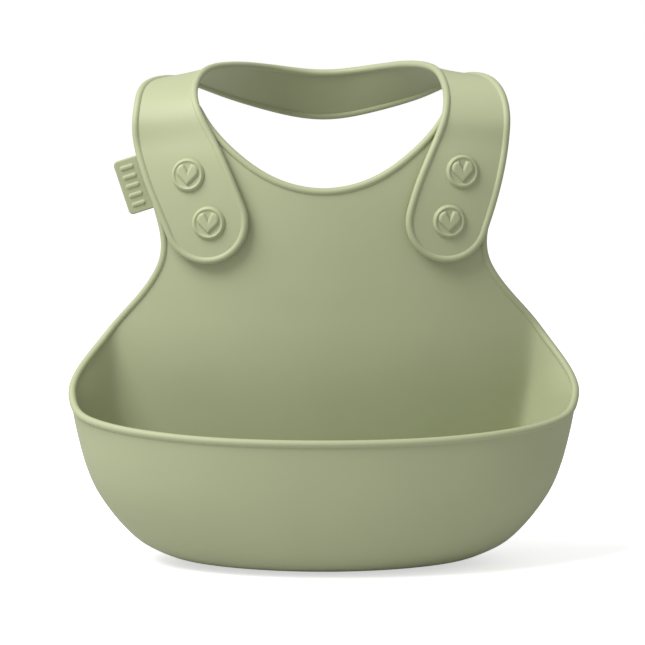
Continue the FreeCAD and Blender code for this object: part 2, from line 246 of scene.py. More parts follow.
def hole_centre(x, z):
    """Where a snap's shank passes the middle of the tab's sheet, seen from the front."""
    axis = snap_axis(x, z)
    seat = snap_seat(x, z)
    back = (depth_at(x, z) - WALL / 2 - seat.y) / axis.y
    return seat.x + axis.x * back, seat.z + axis.z * back


# ---- sheets to solids ---------------------------------------------------------------------------
NORMAL_PASSES = 4             # how much the sheet's normals are evened out along a border
OUTWARD_PASSES = 2            # and the directions square to it


def vertex_normals(verts, faces):
    normals = np.zeros_like(verts)
    for sides in (3, 4):
        chosen = np.array([face for face in faces if len(face) == sides], int).reshape(-1, sides)
        corner = verts[chosen]
        area = np.cross(corner[:, 1] - corner[:, 0], corner[:, 2] - corner[:, 0])
        if sides == 4:
            area += np.cross(corner[:, 2] - corner[:, 0], corner[:, 3] - corner[:, 0])
        for k in range(sides):
            np.add.at(normals, chosen[:, k], area)
    return unit(normals)


def edge_loops(faces):
    """Open borders of a sheet, each in the winding order of its faces."""
    after = {}
    for face in faces:
        for a, b in zip(face, face[1:] + face[:1]):
            if (b, a) in after:
                del after[(b, a)]
            else:
                after[(a, b)] = b
    step = {a: b for a, b in after}
    loops = []
    while step:
        start = min(step)
        loop = [start]
        place = step.pop(start)
        while place != start:
            loop.append(place)
            place = step.pop(place)
        loops.append(loop)
    return loops


def eased(values, times):
    """A closed ring of values, each moved towards its two neighbours."""
    for _ in range(times):
        values = (np.roll(values, 1, 0) + 2 * values + np.roll(values, -1, 0)) / 4
    return values


def unit(rows):
    return rows / np.linalg.norm(rows, axis=1)[:, None]


def bead_reach(thick, bead):
    """How far beyond the edge of its sheet a bead's centre lies."""
    return math.sqrt(bead ** 2 - (thick / 2) ** 2)


def bead_rings(points, outward, upright, thick, bead):
    """Rings of points along a bead, from the sheet's top face round to its low face."""
    half_angle = math.pi - math.asin(thick / 2 / bead)
    centre = points + outward * bead_reach(thick, bead)
    rings = []
    for k in range(1, BEAD_FACETS):
        angle = half_angle * (1 - 2 * k / BEAD_FACETS)
        rings.append(centre + bead * (outward * math.cos(angle) + upright * math.sin(angle)))
    return rings


def two_faces(verts, faces, normals, thick):
    """Points and faces of the sheet's top and of its low side."""
    count = len(verts)
    points = [verts + normals * thick / 2, verts - normals * thick / 2]
    solid = [tuple(face) for face in faces]
    solid += [tuple(count + v for v in reversed(face)) for face in faces]
    return points, solid


def joined_rings(path, made, count, total):
    """Vertex numbers of every ring along a border, from the top face to the low face."""
    size = len(path)
    between = [list(range(total + k * size, total + (k + 1) * size)) for k in range(len(made))]
    return [list(path)] + between + [[count + v for v in path]]


def beaded_solid(verts, faces, thick, bead, is_plain):
    """Solid from a mid-sheet: two faces joined by a round bead along its borders.
    is_plain(points of a border) says which borders get a flat wall instead."""
    normals = vertex_normals(verts, faces)
    borders = []
    for loop in edge_loops(faces):
        points = verts[loop]
        if is_plain(points):
            borders.append((loop, []))
            continue
        along = unit(np.roll(points, -1, 0) - np.roll(points, 1, 0))
        upright = unit(eased(normals[loop], NORMAL_PASSES))
        normals[loop] = upright
        outward = unit(eased(unit(np.cross(along, upright)), OUTWARD_PASSES))
        borders.append((loop, bead_rings(points, outward, upright, thick, bead)))
    parts, solid = two_faces(verts, faces, normals, thick)
    total = 2 * len(verts)
    for loop, made in borders:
        size = len(loop)
        rings = joined_rings(loop, made, len(verts), total)
        parts += made
        total += size * len(made)
        for ring, following in zip(rings, rings[1:]):
            for i in range(size):
                j = (i + 1) % size
                solid.append((ring[j], ring[i], following[i], following[j]))
    return np.concatenate(parts), solid


def add_piece(name, verts, faces, material, sharp=38.0):
    """Mesh object in metres, shaded smooth except over edges sharper than the angle."""
    mesh = bpy.data.meshes.new(name)
    mesh.from_pydata([tuple(v) for v in np.asarray(verts) * MM], [], [list(f) for f in faces])
    mesh.validate()
    work = bmesh.new()
    work.from_mesh(mesh)
    bmesh.ops.remove_doubles(work, verts=work.verts, dist=1e-7)
    bmesh.ops.recalc_face_normals(work, faces=work.faces)
    work.to_mesh(mesh)
    work.free()
    mesh.polygons.foreach_set("use_smooth", [True] * len(mesh.polygons))
    mesh.set_sharp_from_angle(angle=math.radians(sharp))
    mesh.materials.append(material)
    piece = bpy.data.objects.new(name, mesh)
    bpy.context.scene.collection.objects.link(piece)
    return piece


# ---- bib body -----------------------------------------------------------------------------------
SEAM_Z = 70.4                 # where the pocket's rows hand over to the panel
SEAM_CLEAR = 2.0              # the panel's outline starts this far above it
GRID = 1.7                    # spacing of the sheet's mesh
GRID_CLEAR = 0.62 * GRID      # no grid point nearer than this to a border
BORDER_STEP = 1.5             # spacing along the outline
HOLE_POINTS = 24
SAME_POINT = 0.02             # the panel's and the pocket's seam points agree within this
FLOOR_RINGS = (0.12, 0.3, 0.5, 0.75)    # rings over the flat, as shares of its size
MOUTH_PASSES = 8              # rounds of fitting the rows' ends to the mouth
UPRIGHT_TURNS = 0.22          # how far the pocket's upright corners are rounded, in turns
UPRIGHT_PASSES = 40
UPRIGHT_FADE = 0.45           # the rounding fades over this last share of the way up
CORNER_REACH = 9.0            # how far about the mouth's corners the sheet is evened out
CORNER_PASSES = 30


def pocket_sheet():
    """Rows of the pocket's outer face from the centre of its flat up to the mouth and the seam."""
    seam_run = float(np.interp(SEAM_Z, SIDE_ROWS[:, 0], SIDE_RUN))
    fine = np.linspace(0, 4, 961)
    length = chord_knots(ring_points(fine, seam_run))
    quarter = [np.interp(k, fine, length) for k in range(5)]
    turns = []
    for k in range(4):
        count = int(round((quarter[k + 1] - quarter[k]) / GRID))
        wanted = np.linspace(quarter[k], quarter[k + 1], count + 1)[:-1]
        turns += list(np.interp(wanted, length, fine))
    turns = np.array(turns)
    tops = np.full(turns.shape, seam_run)
    inset = BEAD + bead_reach(SHEET, BEAD)
    for _ in range(MOUTH_PASSES):
        level = mouth_at(ring_points(turns, tops)[:, 1])[:, 0] - inset
        tops = np.interp(np.minimum(level, SEAM_Z), SIDE_ROWS[:, 0], SIDE_RUN)
    tops = np.where((turns > 1.0) & (turns < 3.0), tops, seam_run)
    levels = int(round(seam_run / GRID))
    rows = [ring_points(turns, tops * k / levels) for k in range(levels + 1)]
    # the pocket's two upright corners are rounded, less and less towards the mouth
    away = np.minimum(np.abs(turns - 1.0), np.abs(turns - 3.0))
    near = np.exp(-(away / UPRIGHT_TURNS) ** 2)
    for k, row in enumerate(rows):
        fade = smooth_step(0.0, UPRIGHT_FADE, 1.0 - k / levels)
        weight = (near * fade)[:, None]
        wide = np.abs(row[:, 0]).max()
        row[:] = row * (1 - weight) + eased(row, UPRIGHT_PASSES) * weight
        row[:, 0] *= wide / np.abs(row[:, 0]).max()
    flat = rows[0]
    middle = np.array([0.0, flat[:, 1].mean(), 0.0])
    discs = [middle + (flat - middle) * share for share in FLOOR_RINGS]
    return turns, discs + rows, middle


def waist_lean(z):
    """How far the outline is pushed to the right at a height."""
    return WAIST_LEAN * math.exp(-((z - WAIST_Z) / WAIST_SPREAD) ** 2)


def junction_line():
    """Where the sheet meets the bead, from the right end of the seam over the tabs to the left."""
    right = [(waist_lean(z) + x, z) for x, z in OUTLINE[::-1]]
    full = right + [(waist_lean(z) - x, z) for x, z in OUTLINE[1:]]
    line = even_points(full, 1.0)
    along = unit(np.gradient(line, axis=0))
    inward = np.stack([-along[:, 1], along[:, 0]], 1)
    # seen from the front, the bead looks narrower where the panel slopes away
    step = 0.3
    near = panel_depth(line[:, 0] + inward[:, 0] * step, line[:, 1] + inward[:, 1] * step)
    here = panel_depth(line[:, 0], line[:, 1])
    steep = (near - here) / step
    inset = BEAD + bead_reach(SHEET, BEAD) / np.sqrt(1 + steep ** 2)
    moved = line + inward * inset[:, None]
    half = float(width_at(SEAM_Z)[0, 0])
    moved = moved[moved[:, 1] > SEAM_Z + SEAM_CLEAR]
    ends = [np.array([[half, SEAM_Z]]), moved, np.array([[-half, SEAM_Z]])]
    return even_points(np.concatenate(ends), BORDER_STEP, fine=6000)


def panel_sheet(seam):
    """Triangles of the panel in front view, over the seam's own points."""
    border = junction_line()
    half = border[0, 0]
    outline = np.concatenate([border[1:-1], seam[:, [0, 2]]])
    loops = [list(range(len(outline)))]
    points = [outline]
    total = len(outline)
    holes = [hole_centre(*place) for place in SNAPS.values()]
    for x, z in holes:
        angles = np.linspace(0, 2 * math.pi, HOLE_POINTS + 1)[:-1]
        ring = np.stack([x + TAB_HOLE * np.cos(angles), z + TAB_HOLE * np.sin(angles)], 1)
        points.append(ring)
        loops.append(list(range(total, total + len(ring))))
        total += len(ring)
    xs = np.arange(-math.floor(half / GRID) * GRID, half, GRID)
    zs = np.arange(SEAM_Z + GRID, PANEL[-1][0], GRID)
    grid = np.array([(x, z) for z in zs for x in xs])
    kept = inside_polygon(grid, outline) & outside_holes(grid, holes, TAB_HOLE)
    kept &= distance_to(grid, np.concatenate(points)) > GRID_CLEAR
    points.append(grid[kept])
    points = np.concatenate(points)
    edges = [(a, b) for loop in loops for a, b in zip(loop, loop[1:] + loop[:1])]
    made = delaunay_2d_cdt([Vector(p) for p in points], edges, [], 0, 1e-5)
    verts = np.array([tuple(v) for v in made[0]])
    faces = np.array([list(face) for face in made[2]])
    middles = verts[faces].mean(1)
    solid = inside_polygon(middles, outline) & outside_holes(middles, holes, TAB_HOLE * 0.99)
    return verts, faces[solid].tolist()


def outside_holes(points, holes, radius):
    clear = np.ones(len(points), bool)
    for x, z in holes:
        clear &= np.hypot(points[:, 0] - x, points[:, 1] - z) > radius
    return clear


def inside_polygon(points, polygon):
    inside = np.zeros(len(points), bool)
    for (x0, z0), (x1, z1) in zip(polygon, np.roll(polygon, -1, 0)):
        crosses = (z0 > points[:, 1]) != (z1 > points[:, 1])
        with np.errstate(divide="ignore", invalid="ignore"):
            at = (x1 - x0) * (points[:, 1] - z0) / (z1 - z0) + x0
        inside ^= crosses & (points[:, 0] < at)
    return inside


def distance_to(points, others):
    """Distance from each point to the nearest of the others, worked out a share at a time."""
    best = np.full(len(points), np.inf)
    for chunk in np.array_split(others, max(len(others) // 200, 1)):
        gap = np.linalg.norm(points[:, None, :] - chunk[None, :, :], axis=2).min(1)
        best = np.minimum(best, gap)
    return best


def is_tab_hole(points):
    return np.ptp(points, axis=0).max() < 4 * TAB_HOLE


def bib_body(material):
    """Pocket and panel as one sheet, then as a solid with a bead round its edge."""
    turns, rows, middle = pocket_sheet()
    around = len(turns)
    verts = np.concatenate([middle[None, :]] + rows)
    faces = [[0, 1 + (i + 1) % around, 1 + i] for i in range(around)]
    for k in range(len(rows) - 1):
        low, high = 1 + k * around, 1 + (k + 1) * around
        for i in range(around):
            j = (i + 1) % around
            faces.append([low + i, low + j, high + j, high + i])
    # the seam runs along the back of the last row, from the left side to the right
    back = [i for i in range(around) if turns[i] >= 3.0 - 1e-9]
    back += [i for i in range(around) if turns[i] <= 1.0 + 1e-9]
    seam_ids = [1 + (len(rows) - 1) * around + i for i in back]
    seam = verts[seam_ids]
    flat, triangles = panel_sheet(seam)
    # seam points are shared, the rest are lifted from the front view on to the sheet
    taken = {}
    for v, (x, z) in enumerate(flat):
        gap = np.hypot(seam[:, 0] - x, seam[:, 2] - z)
        if gap.min() < SAME_POINT:
            taken[v] = seam_ids[int(np.argmin(gap))]
    lifted = np.stack([flat[:, 0], panel_depth(flat[:, 0], flat[:, 1]), flat[:, 1]], 1)
    base = len(verts)
    index = [taken.get(v, base + v) for v in range(len(flat))]
    verts = np.concatenate([verts, lifted])
    faces += [[index[v] for v in face] for face in triangles]
    verts, faces = compact(verts, faces)
    faces = same_way(verts, faces)
    half = float(width_at(SEAM_Z)[0, 0])
    for side in (half, -half):
        round_corner(verts, faces, np.array([side, depth_at(side, SEAM_Z), SEAM_Z]))
    mid = verts - vertex_normals(verts, faces) * SHEET / 2
    return add_piece("bib_shell", *beaded_solid(mid, faces, SHEET, BEAD, is_tab_hole), material)


def round_corner(verts, faces, corner):
    """Even the sheet out about a corner of its border; the border moves along its own line."""
    links = [set() for _ in verts]
    for face in faces:
        for a, b in zip(face, face[1:] + face[:1]):
            links[a].add(b)
            links[b].add(a)
    for loop in edge_loops(faces):
        for before, v, after in zip(loop[-1:] + loop[:-1], loop, loop[1:] + loop[:1]):
            links[v] = {before, after}
    weight = np.exp(-(np.linalg.norm(verts - corner, axis=1) / CORNER_REACH) ** 2)
    near = np.flatnonzero(weight > 0.02)
    for _ in range(CORNER_PASSES):
        moved = np.array([verts[list(links[v])].mean(0) for v in near])
        verts[near] += (moved - verts[near]) * 0.5 * weight[near][:, None]


def compact(verts, faces):
    """The same faces without the points that none of them uses."""
    used = sorted({v for face in faces for v in face})
    place = {v: i for i, v in enumerate(used)}
    return verts[used], [[place[v] for v in face] for face in faces]


def same_way(verts, faces):
    """The faces all wound one way, with the lowest one looking down."""
    work = bmesh.new()
    made = [work.verts.new(v) for v in verts]
    for face in faces:
        work.faces.new([made[v] for v in face])
    bmesh.ops.recalc_face_normals(work, faces=work.faces)
    work.verts.index_update()
    wound = [[v.index for v in face.verts] for face in work.faces]
    lowest = min(work.faces, key=lambda face: face.calc_center_median().z)
    if lowest.normal.z > 0:
        wound = [face[::-1] for face in wound]
    work.free()
    return wound


# ---- neckband -----------------------------------------------------------------------------------
ROUND_STATION = 9.45          # where the band's rounded end begins
BAND_STEP = 1.6               # spacing of its rows
NAPE_ROWS = (0.0, 0.15, 0.35, 0.7, 1.15)    # closer rows beside the cut at the nape
BAND_COLUMNS = 19
END_STEPS = 15
LEAVES_PANEL = (-10.0, 8.0)   # heights about LAID_ON over which the strap leaves the panel's curve
STRAP_DEPTH = 50.0            # nothing behind this lies on the panel


def band_edges(front, side):
    """Inner and outer edge of the band as functions of the station, 0 at the nape."""
    back = [[(side * x, y, z) for x, y, z in pair] for pair in BACK_STATIONS]
    beyond = [(-x, y, z) for x, y, z in back[1]]
    stations = [beyond] + back + [list(pair) for pair in front]
    knots = np.arange(len(stations)) - 1.0
    curves = []
    for edge in (0, 1):
        points = []
        for pair in stations:
            if len(pair[edge]) == 2:
                x, z = pair[edge]
                points.append((x, depth_at(x, z) - STRAP_GAP, z))
            else:
                points.append(pair[edge])
        curves.append(spline(knots, points))
    return curves


def rounded_end(a, b):
    """Pairs of points and the tip that close a band, round in front view, beyond the edge a, b."""
    centre = (a + b) / 2
    radius = np.linalg.norm((b - a)[[0, 2]]) / 2
    out = unit(((b - a) * [1, 0, 1])[None, :])[0]
    down = np.array([out[2], 0, -out[0]])
    if down[2] > 0:
        down = -down
    angles = np.linspace(0, math.pi / 2, END_STEPS + 1)[1:-1]
    sideways = [out * radius * math.cos(t) for t in angles]
    below = [down * radius * math.sin(t) for t in angles]
    inner = np.array([centre - s + d for s, d in zip(sideways, below)])
    outer = np.array([centre + s + d for s, d in zip(sideways, below)])
    return inner, outer, centre + down * radius


def band_sheet(front, side):
    """Mid-sheet of one half of the horseshoe band, from the nape to its rounded end."""
    inset = STRAP_BEAD + bead_reach(STRAP_THICK, STRAP_BEAD)
    inner_at, outer_at = band_edges(front, side)
    fine = np.linspace(0, ROUND_STATION, 2000)
    run = chord_knots((inner_at(fine) + outer_at(fine)) / 2)
    count = int(round(run[-1] / BAND_STEP))
    wanted = np.concatenate([NAPE_ROWS, np.linspace(BAND_STEP, run[-1], count)])
    stations = np.interp(wanted, run, fine)
    a, b = inner_at(stations), outer_at(stations)
    across = unit(b - a)
    a = a + across * inset
    b = b - across * inset
    end_a, end_b, tip = rounded_end(a[-1], b[-1])
    a = np.concatenate([a, end_a])
    b = np.concatenate([b, end_b])
    share = np.linspace(0, 1, BAND_COLUMNS)[None, :, None]
    grid = a[:, None, :] * (1 - share) + b[:, None, :] * share
    verts = np.concatenate([grid.reshape(-1, 3), tip[None, :]])
    # the strap lies on the panel's curve, and leaves it gently towards the shoulder
    laid = panel_depth(verts[:, 0], np.clip(verts[:, 2], SEAM_Z, PANEL[-1][0])) - STRAP_GAP
    low, high = (LAID_ON + height for height in LEAVES_PANEL)
    ease = (1 - smooth_step(low, high, verts[:, 2])) * (verts[:, 1] < STRAP_DEPTH)
    verts[:, 1] = verts[:, 1] * (1 - ease) + laid * ease
    rows = len(a)
    faces = []
    for i in range(rows - 1):
        this, following = i * BAND_COLUMNS, (i + 1) * BAND_COLUMNS
        for j in range(BAND_COLUMNS - 1):
            faces.append([this + j, this + j + 1, following + j + 1, following + j])
    last = (rows - 1) * BAND_COLUMNS
    faces += [[last + j, last + j + 1, len(verts) - 1] for j in range(BAND_COLUMNS - 1)]
    if side < 0:
        faces = [face[::-1] for face in faces]
    return verts, faces


def band_half(name, front, side, material):
    """One half of the band as a solid: beads on its edges and round its end, a flat cut at the nape."""
    verts, faces = band_sheet(front, side)
    normals = vertex_normals(verts, faces)
    normals[:BAND_COLUMNS, 0] = 0.0
    normals[:BAND_COLUMNS] = unit(normals[:BAND_COLUMNS])
    # the border without the cut's own inner points, from one end of the cut round to the other
    loop = edge_loops(faces)[0]
    first = loop.index(0)
    if loop[(first + 1) % len(loop)] < BAND_COLUMNS:
        first = loop.index(BAND_COLUMNS - 1)
    loop = loop[first:] + loop[:first]
    path = [v for v in loop if v >= BAND_COLUMNS or v in (0, BAND_COLUMNS - 1)]
    along = np.gradient(verts[path], axis=0)
    along[[0, -1], 1:] = 0.0
    upright = unit(normals[path])
    outward = unit(np.cross(unit(along), upright))
    made = bead_rings(verts[path], outward, upright, STRAP_THICK, STRAP_BEAD)
    count = len(verts)
    parts, solid = two_faces(verts, faces, normals, STRAP_THICK)
    rings = joined_rings(path, made, count, 2 * count)
    for ring, following in zip(rings, rings[1:]):
        for i in range(len(path) - 1):
            solid.append((ring[i + 1], ring[i], following[i], following[i + 1]))
    # flat cut: the sheet's end and the two bead ends make one closed outline
    for i in range(BAND_COLUMNS - 1):
        solid.append((i, i + 1, count + i + 1, count + i))
    for end in (0, -1):
        solid.append(tuple(ring[end] for ring in rings))
    return add_piece(name, np.concatenate(parts + made), solid, material)


# ---- snap buttons -------------------------------------------------------------------------------
CAP_RADIUS = 7.2
CAP_FIELD = 5.9               # inside this radius the cap's rings are evenly spaced
FIELD_RINGS = 44
EDGE_RINGS = 9
CAP_AROUND = 96
# the raised ring, and the rounded edge outside it
CREST_AT, CREST_WIDE, CREST_HIGH = 6.1, 0.6, 0.5
SHOULDER_AT, SHOULDER_WIDE, SHOULDER_HIGH = 6.0, 1.2, 0.75
CAP_FOOT = 0.25               # height of the edge's own foot
HEART = 7.2                   # size of the unit heart that the relief is drawn from
HEART_DROP = 0.55             # how far its tip lies below the cap's centre, as a share of that
HEART_ROUND = 0.5             # how far its outline is let out
# foot of its notch, and how fast the notch widens above that
HEART_NOTCH_AT, HEART_NOTCH_WIDENS = 1.3, 0.5
PILLOW_WIDE, PILLOW_HIGH = 1.3, 1.15    # its rounded flank and its height
# radius and height: foot of the cap, shank and bulb
SHANK = [
    (7.2, 0.0), (6.8, -0.35), (2.6, -0.35), (2.6, -5.1), (2.9, -5.35), (3.2, -5.8),
    (3.2, -6.5), (2.8, -7.0), (2.0, -7.2),
]


def heart_distance(u, v):
    """Signed distance, negative inside, to a plain heart of unit size with its tip at the origin."""
    u = np.abs(u)
    lobe = np.hypot(u - 0.25, v - 0.75) - math.sqrt(2) / 4
    notch = u ** 2 + (v - 1.0) ** 2
    shoulder = 0.5 * np.maximum(u + v, 0.0)
    slope = (u - shoulder) ** 2 + (v - shoulder) ** 2
    return np.where(u + v > 1.0, lobe, np.sqrt(np.minimum(notch, slope)) * np.sign(u - v))


def cap_height(u, v):
    """Relief of a snap's cap: raised ring, sunken field, soft raised heart."""
    r = np.hypot(u, v)
    crest = np.exp(-((r - CREST_AT) / CREST_WIDE) ** 2)
    shoulder = np.clip((r - SHOULDER_AT) / SHOULDER_WIDE, 0, 1)
    relief = CAP_FOOT + SHOULDER_HIGH * np.sqrt(1 - shoulder ** 2) + CREST_HIGH * crest
    heart = heart_distance(u / HEART, v / HEART + HEART_DROP) * HEART - HEART_ROUND
    heart = np.maximum(heart, HEART_NOTCH_WIDENS * (v - HEART_NOTCH_AT) - np.abs(u))
    pillow = np.clip(-heart / PILLOW_WIDE, 0, 1)
    return relief + PILLOW_HIGH * np.sqrt(1 - (1 - pillow) ** 2)


def snap_button(name, x, z, material):
    """Cap, shank and bulb in one closed mesh, square to the panel."""
    field = np.linspace(0, CAP_FIELD, FIELD_RINGS)[1:]
    quarter = np.linspace(0, math.pi / 2, EDGE_RINGS)[1:]
    edge = CAP_FIELD + (CAP_RADIUS - CAP_FIELD) * np.sin(quarter)
    angles = np.linspace(0, 2 * math.pi, CAP_AROUND + 1)[:-1]
    verts = [(0.0, 0.0, float(cap_height(np.array(0.0), np.array(0.0))))]
    radii = np.concatenate([field, edge])
    for r in radii:
        u, v = r * np.cos(angles), r * np.sin(angles)
        verts += list(zip(u, v, cap_height(u, v)))
    for r, h in SHANK:
        verts += [(r * math.cos(t), r * math.sin(t), h) for t in angles]
    verts.append((0.0, 0.0, SHANK[-1][1]))
    rings = len(radii) + len(SHANK)
    after = [(i + 1) % CAP_AROUND for i in range(CAP_AROUND)]
    faces = [(0, 1 + i, 1 + j) for i, j in enumerate(after)]
    for k in range(rings - 1):
        a, b = 1 + k * CAP_AROUND, 1 + (k + 1) * CAP_AROUND
        faces += [(a + i, b + i, b + j, a + j) for i, j in enumerate(after)]
    last = 1 + (rings - 1) * CAP_AROUND
    faces += [(last + i, len(verts) - 1, last + j) for i, j in enumerate(after)]
    axis = snap_axis(x, z)
    up = (Vector((0, 0, 1)) - axis * axis.z).normalized()
    right = up.cross(axis)
    seat = snap_seat(x, z)
    placed = [seat + right * p[0] + up * p[1] + axis * p[2] for p in verts]
    return add_piece(name, np.array([tuple(p) for p in placed]), faces, material, sharp=60.0)


# ---- side tag -----------------------------------------------------------------------------------
TAG_CENTRE = (-80.5, 160.2)
TAG_SIZE = (14.0, 24.0, 1.7)
TAG_TILT = 18.0
TAG_ROOT_X = 76.0             # its depth is the panel's at this distance from the middle
TAG_ROUND = 2.0
TAG_SOFT = 0.55               # radius of its edges
TAG_GRID = 0.28
TAG_BARS = 5
TAG_PITCH = 4.1
TAG_BAR = (2.9, 0.85)         # half width and half height of a bar
TAG_BAR_ROUND = 0.7
TAG_BAR_AT = -1.7
TAG_BAR_HIGH = 0.5
TAG_BAR_EDGE = (-0.35, 0.25)  # its flank begins and ends this far from its outline


def rounded_distance(u, v, half_u, half_v, radius):
    """Signed distance, negative inside, to a rounded rectangle."""
    du = np.abs(u) - half_u + radius
    dv = np.abs(v) - half_v + radius
    return np.hypot(np.maximum(du, 0), np.maximum(dv, 0)) + np.minimum(np.maximum(du, dv), 0) - radius


def tag_relief(u, v):
    """A row of plain raised bars."""
    relief = np.zeros_like(u)
    for place in range(TAG_BARS):
        centre = (place - (TAG_BARS - 1) / 2) * TAG_PITCH
        gap = rounded_distance(u - TAG_BAR_AT, v - centre, *TAG_BAR, TAG_BAR_ROUND)
        relief = np.maximum(relief, 1 - smooth_step(*TAG_BAR_EDGE, gap))
    return relief * TAG_BAR_HIGH


def side_tag(material):
    """Small slab with rounded outer corners and soft edges; its right side lies behind the strap."""
    width, length, thick = TAG_SIZE
    half_u, half_v = width / 2, length / 2
    us = np.arange(-half_u, half_u + TAG_GRID / 2, width / round(width / TAG_GRID))
    vs = np.arange(-half_v, half_v + TAG_GRID / 2, length / round(length / TAG_GRID))
    nu, nv = len(us), len(vs)
    u, v = np.meshgrid(us, vs, indexing="ij")
    # squeeze the grid's outer corners into round ones
    du = np.maximum(np.abs(u) - half_u + TAG_ROUND, 0)
    dv = np.maximum(np.abs(v) - half_v + TAG_ROUND, 0)
    corner = (u < 0) & (du > 0) & (dv > 0)
    scale = np.maximum(du, dv) / np.where(corner, np.hypot(du, dv), 1.0)
    u = np.where(corner, np.sign(u) * (half_u - TAG_ROUND + du * scale), u)
    v = np.where(corner, np.sign(v) * (half_v - TAG_ROUND + dv * scale), v)
    edge = rounded_distance(u, v, half_u, half_v, TAG_ROUND)
    fall = TAG_SOFT - np.sqrt(np.clip(TAG_SOFT ** 2 - (edge + TAG_SOFT) ** 2, 0, None))
    drop = np.minimum(np.where(edge > -TAG_SOFT, fall, 0), TAG_SOFT)
    x0, z0 = TAG_CENTRE
    y0 = depth_at(TAG_ROOT_X, z0) - WALL / 2
    tilt = math.radians(TAG_TILT)
    cos, sin = math.cos(tilt), math.sin(tilt)

    def place(depth):
        return np.stack([x0 + u * cos - v * sin, y0 + depth, z0 + u * sin + v * cos], 2).reshape(-1, 3)

    verts = np.concatenate([place(-thick / 2 + drop - tag_relief(u, v)), place(thick / 2 - drop)])
    count = nu * nv
    faces = []
    for i in range(nu - 1):
        for j in range(nv - 1):
            quad = (i * nv + j, (i + 1) * nv + j, (i + 1) * nv + j + 1, i * nv + j + 1)
            faces.append(quad)
            faces.append(tuple(count + k for k in quad[::-1]))
    border = [i * nv for i in range(nu)] + [(nu - 1) * nv + j for j in range(1, nv)]
    border += [i * nv + nv - 1 for i in range(nu - 2, -1, -1)] + [j for j in range(nv - 2, 0, -1)]
    for a, b in zip(border, border[1:] + border[:1]):
        faces.append((b, a, count + a, count + b))
    return add_piece("side_label", verts, faces, material, sharp=50.0)


# ---- materials ----------------------------------------------------------------------------------
DRIFT = (0.965, 1.03)         # the colour wanders between these shares of itself
GLOSS_DRIFT = (-0.05, 0.07)   # and the roughness between these offsets
GRAIN_SHARE = 0.35            # height of the powdery grain beside the slow waves under it
BUMP_STRENGTH = 0.10
BUMP_DISTANCE = 0.0004


def silicone(name, colour, roughness, seed):
    """Matte moulded silicone: faint colour drift, fine powdery grain and a soft skin of gloss."""
    material = bpy.data.materials.new(name)
    material.use_nodes = True
    nodes, links = material.node_tree.nodes, material.node_tree.links
    shader = nodes["Principled BSDF"]
    place = nodes.new("ShaderNodeTexCoord")
    shift = nodes.new("ShaderNodeMapping")
    shift.inputs["Location"].default_value = (seed, seed * 0.7, seed * 1.3)
    links.new(place.outputs["Object"], shift.inputs["Vector"])

    def noise(scale, detail, rough):
        node = nodes.new("ShaderNodeTexNoise")
        node.inputs["Scale"].default_value = scale
        node.inputs["Detail"].default_value = detail
        node.inputs["Roughness"].default_value = rough
        links.new(shift.outputs["Vector"], node.inputs["Vector"])
        return node.outputs["Fac"]

    ramp = nodes.new("ShaderNodeValToRGB")
    for element, position, share in zip(ramp.color_ramp.elements, (0.3, 0.7), DRIFT):
        element.position = position
        element.color = (*[min(c * share, 1) for c in colour], 1)
    links.new(noise(14.0, 3.0, 0.5), ramp.inputs["Fac"])
    links.new(ramp.outputs["Color"], shader.inputs["Base Color"])
    gloss = nodes.new("ShaderNodeMapRange")
    gloss.inputs["To Min"].default_value = roughness + GLOSS_DRIFT[0]
    gloss.inputs["To Max"].default_value = roughness + GLOSS_DRIFT[1]
    links.new(noise(45.0, 4.0, 0.6), gloss.inputs["Value"])
    links.new(gloss.outputs["Result"], shader.inputs["Roughness"])
    height = nodes.new("ShaderNodeMath")
    height.operation = "MULTIPLY_ADD"
    height.inputs[1].default_value = GRAIN_SHARE
    links.new(noise(2600.0, 2.0, 0.6), height.inputs[0])
    links.new(noise(120.0, 2.0, 0.5), height.inputs[2])
    bump = nodes.new("ShaderNodeBump")
    bump.inputs["Strength"].default_value = BUMP_STRENGTH
    bump.inputs["Distance"].default_value = BUMP_DISTANCE
    links.new(height.outputs["Value"], bump.inputs["Height"])
    links.new(bump.outputs["Normal"], shader.inputs["Normal"])
    shader.inputs["Specular IOR Level"].default_value = 0.35
    shader.inputs["Sheen Weight"].default_value = 0.06
    shader.inputs["Sheen Roughness"].default_value = 0.5
    return material


def srgb(*levels):
    """Linear colour of three levels from 0 to 255."""
    shares = [level / 255 for level in levels]
    return tuple(c / 12.92 if c <= 0.04045 else ((c + 0.055) / 1.055) ** 2.4 for c in shares)


# ---- stage, in metres ---------------------------------------------------------------------------
ROOM_LIGHT = 0.44             # soft light from all round
FLOOR_BOUNCE = 0.62           # how much of its light the floor throws back on the bib
FLOOR_SEEN = 0.9
FLOOR_GLOW = 0.6              # lifts the floor towards white, so that it fades into the backdrop
FLOOR_REACH = 3.0
FLOOR_DROP = 0.0005           # keeps the floor clear of the bib's flat
KEY_PLACE = (-0.53, -0.30, 0.90)
KEY_AIM = (0, 0.02, 0.11)
KEY_SIZE = 0.6
KEY_POWER = 11.6
CAMERA_AIM = (-0.0004, 0.018, 0.1018)
CAMERA_RISE = 9.0             # degrees above the horizon
CAMERA_DISTANCE = 1.3
FRAME_WIDTH = 0.27735         # what the frame takes in at the aim
SENSOR = 36.0                 # millimetres


def grey(level):
    return (level, level, level, 1)


